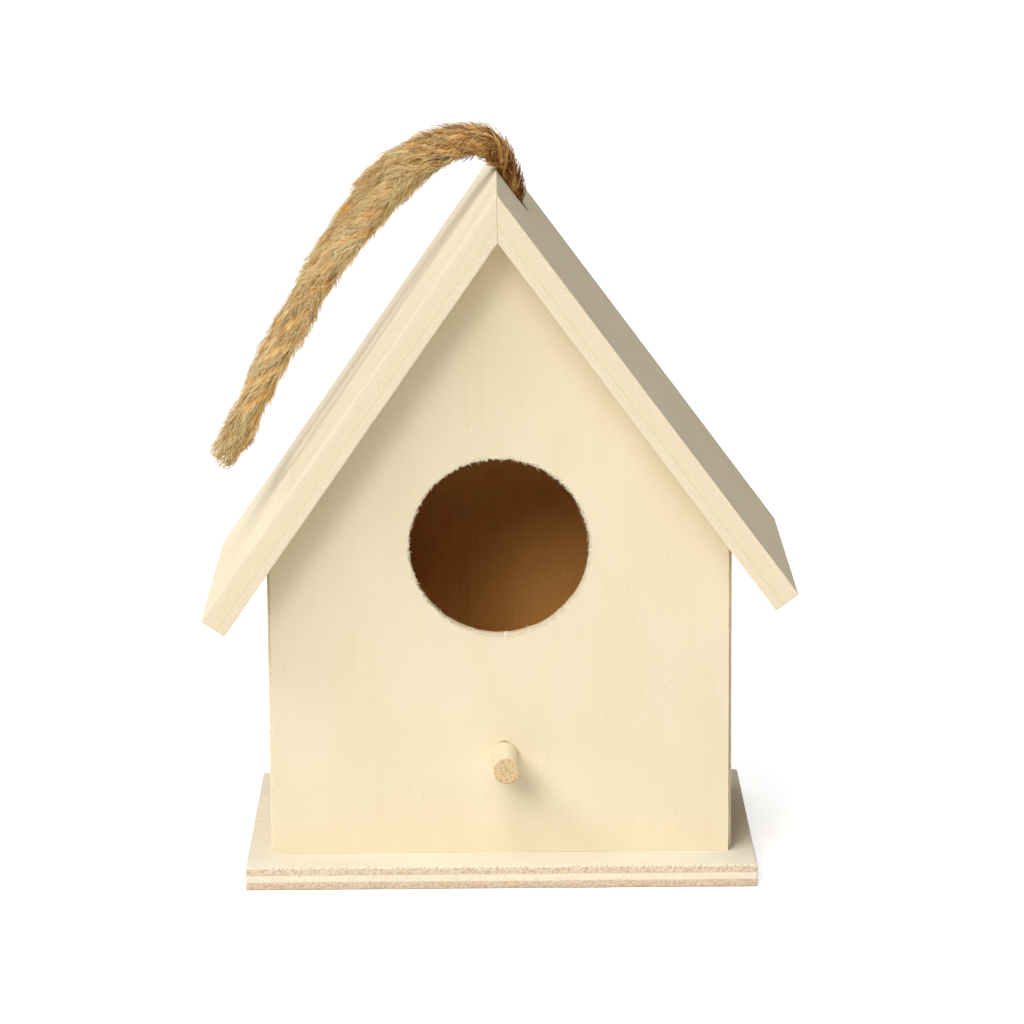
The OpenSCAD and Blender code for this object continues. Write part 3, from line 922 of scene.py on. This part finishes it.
def turn_fibres(run, middle):
    """Short fibres lying round the loop's far end, over its strands."""
    rng = np.random.default_rng(41)
    count = 2200
    s0, turn0 = middle + rng.uniform(-9, 9, count), rng.uniform(0, 2 * math.pi, count)
    length, swirl = rng.uniform(2.0, 4.5, (count, 1)), rng.normal(0.2, 0.6, (count, 1))
    way = rng.choice([-1, 1], (count, 1))
    share = np.linspace(0, 1, 6)[None, :]
    root_out, high = strand_surface(turn0, s0, np.interp(s0, run["s"], run["r"]))
    out = root_out[:, None] * 0.97 + rng.uniform(0.1, 0.7, (count, 1)) * share ** 1.3
    lines = on_run(run, s0[:, None] + way * length * share, turn0[:, None] + swirl * share, out)
    # Painted shade: fibres rooted in the grooves between strands are darker.
    tone = 0.5 + rng.choice([-0.35, 0.0, 0.28], count) + rng.normal(0, 0.1, count) + 0.25 * (high - 0.6)
    return fibre_strands("jute_turn_fibres", lines, rng.uniform(0.045, 0.095, count), np.clip(tone, 0.02, 1.0),
                         [jute_fibre], tip=0.3)


def make_rope():
    front, behind = leg_route(-1), leg_route(1)
    route = front + behind[::-1]
    radii = leg_radii + leg_radii[::-1]
    run = smooth_run(route, radii, 0.4)
    rope = rope_tube("jute_rope", run, 48, jute_core)
    seat(rope, "jute", "hanging_rope")
    length = run["s"][-1]
    half = length / 2
    pieces = []
    for side, word, seed in ((-1, "front", 21), (1, "back", 31)):
        for part, (start, stop, count) in enumerate(((13.5, 52, 3000), (46, 84, 3000), (78, half - 3, 2700))):
            piece = combed_fibres(f"jute_{word}_fibres_{part + 1}", side, count, seed + part, start, stop,
                                  half - 2.4)
            pieces.append(seat(piece, "jute"))
    pieces.append(seat(turn_fibres(run, half), "jute"))
    path = (run["p"][:: 6] * MM).tolist() + [(run["p"][-1] * MM).tolist()]
    return rope, pieces, length, path


def make_knot():
    """An overhand knot drawn up tight under the roof, with its two cut ends hanging."""
    t = np.linspace(0, 2 * math.pi, 61)[:-1] + 0.4
    loop = np.stack([np.sin(t) + 2 * np.sin(2 * t), np.cos(t) - 2 * np.cos(2 * t), -1.3 * np.sin(3 * t)], axis=1)
    curve_reach, knot_reach = 3.2, 4.6
    loop = loop / curve_reach * knot_reach * np.array([1, 1, 0.9])
    loop = loop[:, [0, 2, 1]] + knot_at + np.array([0, 0, 0.1])
    knot_run = smooth_run([tuple(p) for p in loop] + [tuple(loop[0])], [2.25] * 61, 0.5)
    parts = [rope_tube("jute_knot", knot_run, 36, jute_core)]
    for side in (-1, 1):
        lean = math.radians(22)
        tail = [knot_at + np.array([0.25 * math.sin(k), -side * -k * math.sin(lean), -k * math.cos(lean)])
                for k in np.linspace(1.5, 12.6, 7)]
        tail_run = smooth_run([tuple(p) for p in tail], [2.3] * 7, 0.5)
        parts.append(rope_tube("jute_tail_front" if side < 0 else "jute_tail_back", tail_run, 36, jute_core))
    seat(parts[0], "jute", "rope_knot")
    for part in parts[1:]:
        seat(part, "jute")
    rng = np.random.default_rng(41)
    count = 700
    s0, turn0 = rng.uniform(0, knot_run["s"][-1] - 4, count), rng.uniform(0, 2 * math.pi, count)
    share = np.linspace(0, 1, 5)[None, :]
    out = 2.2 + rng.uniform(0.1, 1.0, count)[:, None] * share
    lines = on_run(knot_run, s0[:, None] + 3.5 * share, turn0[:, None] + 0.5 * share, out)
    fuzz = fibre_strands("jute_knot_fuzz", lines, rng.uniform(0.05, 0.1, count),
                         rng.uniform(0.25, 0.75, count), [jute_fibre])
    return parts + [seat(fuzz, "jute")]


rope, rope_fibres, rope_length, rope_path = make_rope()
knot_parts = make_knot()
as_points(rope_path)


# ---------------------------------------------------------------- base pins
def pin_steel():
    material, tree, shader = new_material("pin_steel")
    place = put(tree, "ShaderNodeTexCoord").outputs["Object"]
    scuffs = stretched_noise(tree, place, (900, 900, 240), 4, 0.6)
    tree.links.new(colour_steps(tree, scuffs, [(0.3, srgb(150, 148, 144)), (0.7, srgb(196, 195, 192))]),
                   shader.inputs["Base Color"])
    tree.links.new(remap(tree, scuffs, 0.3, 0.7, 0.28, 0.5), shader.inputs["Roughness"])
    shader.inputs["Metallic"].default_value = 1.0
    bump_from(tree, shader, scuffs, 0.02)
    return material


pins = frame["nodes"]["base_pins"]
pins.data.materials.clear()
pins.data.materials.append(pin_steel())


# ---------------------------------------------------------------- floor and light
FLOOR_LIFT = 0.6


def make_floor():
    """Plain white paper, lifted a little where it is seen directly."""
    material, tree, shader = new_material("floor_paper")
    place = put(tree, "ShaderNodeTexCoord").outputs["Object"]
    mottle = stretched_noise(tree, place, (6, 6, 6), 3)
    tree.links.new(colour_steps(tree, mottle, [(0.3, (0.78, 0.78, 0.78, 1)), (0.7, (0.8, 0.8, 0.8, 1))]),
                   shader.inputs["Base Color"])
    shader.inputs["Roughness"].default_value = 0.9
    shader.inputs["Emission Color"].default_value = (1, 1, 1, 1)
    seen = put(tree, "ShaderNodeLightPath").outputs["Is Camera Ray"]
    tree.links.new(calc(tree, "MULTIPLY", seen, FLOOR_LIFT), shader.inputs["Emission Strength"])
    n, size = 24, 14000.0
    line = np.linspace(-size / 2, size / 2, n)
    verts = [(x, y + 1000, -0.02) for y in line for x in line]
    faces = [(r * n + c, r * n + c + 1, (r + 1) * n + c + 1, (r + 1) * n + c)
             for r in range(n - 1) for c in range(n - 1)]
    make_object("studio_floor", verts, faces, [material])


def soft_light(name, azimuth, elevation, width, strength):
    """A wide soft light. Azimuth is from the front towards the left, all angles in degrees."""
    turn, lift = math.radians(azimuth), math.radians(elevation)
    toward = Vector((-math.sin(turn) * math.cos(lift), -math.cos(turn) * math.cos(lift), math.sin(lift)))
    data = bpy.data.lights.new(name, "SUN")
    data.angle, data.energy = math.radians(width), strength
    light = bpy.data.objects.new(name, data)
    light.location = toward * 1.5
    light.rotation_mode = "QUATERNION"
    light.rotation_quaternion = (-toward).to_track_quat("-Z", "Y")
    scene.collection.objects.link(light)


def make_lights():
    world = bpy.data.worlds.new("studio_world")
    scene.world = world
    world.use_nodes = True
    tree = world.node_tree
    seen = put(tree, "ShaderNodeLightPath").outputs["Is Camera Ray"]
    tree.nodes["Background"].inputs[0].default_value = (1, 1, 1, 1)
    tree.links.new(remap(tree, seen, 0, 1, 0.03, 1.0), tree.nodes["Background"].inputs[1])
    soft_light("key_light", 28, 50, 34, 1.3)
    soft_light("side_light", 64, 44, 14, 0.55)
    soft_light("front_light", 0, 30, 26, 0.38)
    soft_light("front_left_light", 22, 26, 20, 0.85)
    soft_light("right_light", -50, 35, 30, 0.12)
    soft_light("back_left_light", 150, 52, 34, 0.45)
    soft_light("overhead_light", 0, 88, 40, 0.72)
    soft_light("low_left_light", 150, 9, 22, 0.5)


make_floor()
make_lights()
